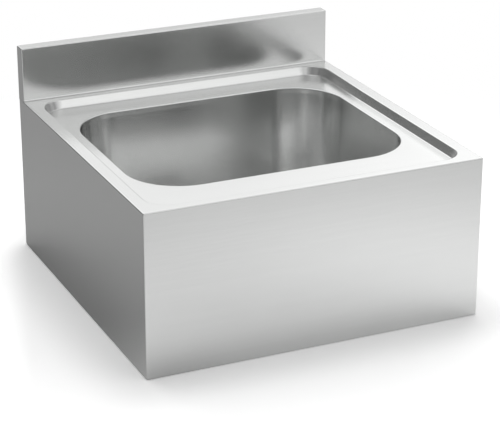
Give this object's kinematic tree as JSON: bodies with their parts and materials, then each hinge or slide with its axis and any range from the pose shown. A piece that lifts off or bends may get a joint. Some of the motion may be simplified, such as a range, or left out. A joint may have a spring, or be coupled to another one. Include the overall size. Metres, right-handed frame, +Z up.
{
  "type": "wall-mounted sink",
  "caption": "Square wall-hung stainless steel sink with a deep rounded bowl in a recessed deck, plain aprons, a low backsplash hooked on a wall rail and a lift-out basket strainer.",
  "frame": {"origin": "middle of the two upper wall fixings, on the wall's surface", "axes": "+X to the right of someone facing the sink, +Y into the wall, +Z up"},
  "size_m": [0.6, 0.61, 0.382],
  "materials": {
    "deck_steel": "satin, finely brushed side to side",
    "splash_steel": "satin, finely brushed side to side",
    "apron_steel": "satin, finely brushed along its length",
    "bowl_steel": "satin, drawn and lightly polished",
    "channel_steel": "mill finish",
    "rail_steel": "dull, zinc plated",
    "screw_steel": "bright",
    "polished_steel": "polished",
    "nut_brass": "plain",
    "seal_rubber": "matt",
    "pad_rubber": "matt, bituminous",
    "waste_plastic": "moulded, matt"
  },
  "bodies": {
    "sink": {"deck": "deck_steel", "splashback": "splash_steel", "splash_end_left": "splash_steel", "splash_end_right": "splash_steel", "front_apron": "apron_steel", "side_apron_left": "apron_steel", "side_apron_right": "apron_steel", "bowl": "bowl_steel", "sound_pads": "pad_rubber", "front_stiffener": "channel_steel", "rear_stiffener": "channel_steel", "rear_tie_bar": "channel_steel", "wall_rail": "rail_steel", "earth_lug": "channel_steel", "earth_screw": "screw_steel", "earth_nut": "screw_steel", "strainer_flange": "polished_steel", "flange_seal": "seal_rubber", "waste_gasket": "seal_rubber", "waste_body": "waste_plastic", "clamp_screw": "screw_steel", "clamp_nut": "nut_brass"},
    "strainer": {"basket": "polished_steel", "basket_seal": "seal_rubber", "basket_knob": "polished_steel"}
  },
  "joints": [
    {"name": "strainer_lift", "type": "slide", "parent": "sink", "child": "strainer", "axis": [0, 0, 1], "range_m": [0, 0.35]}
  ]
}
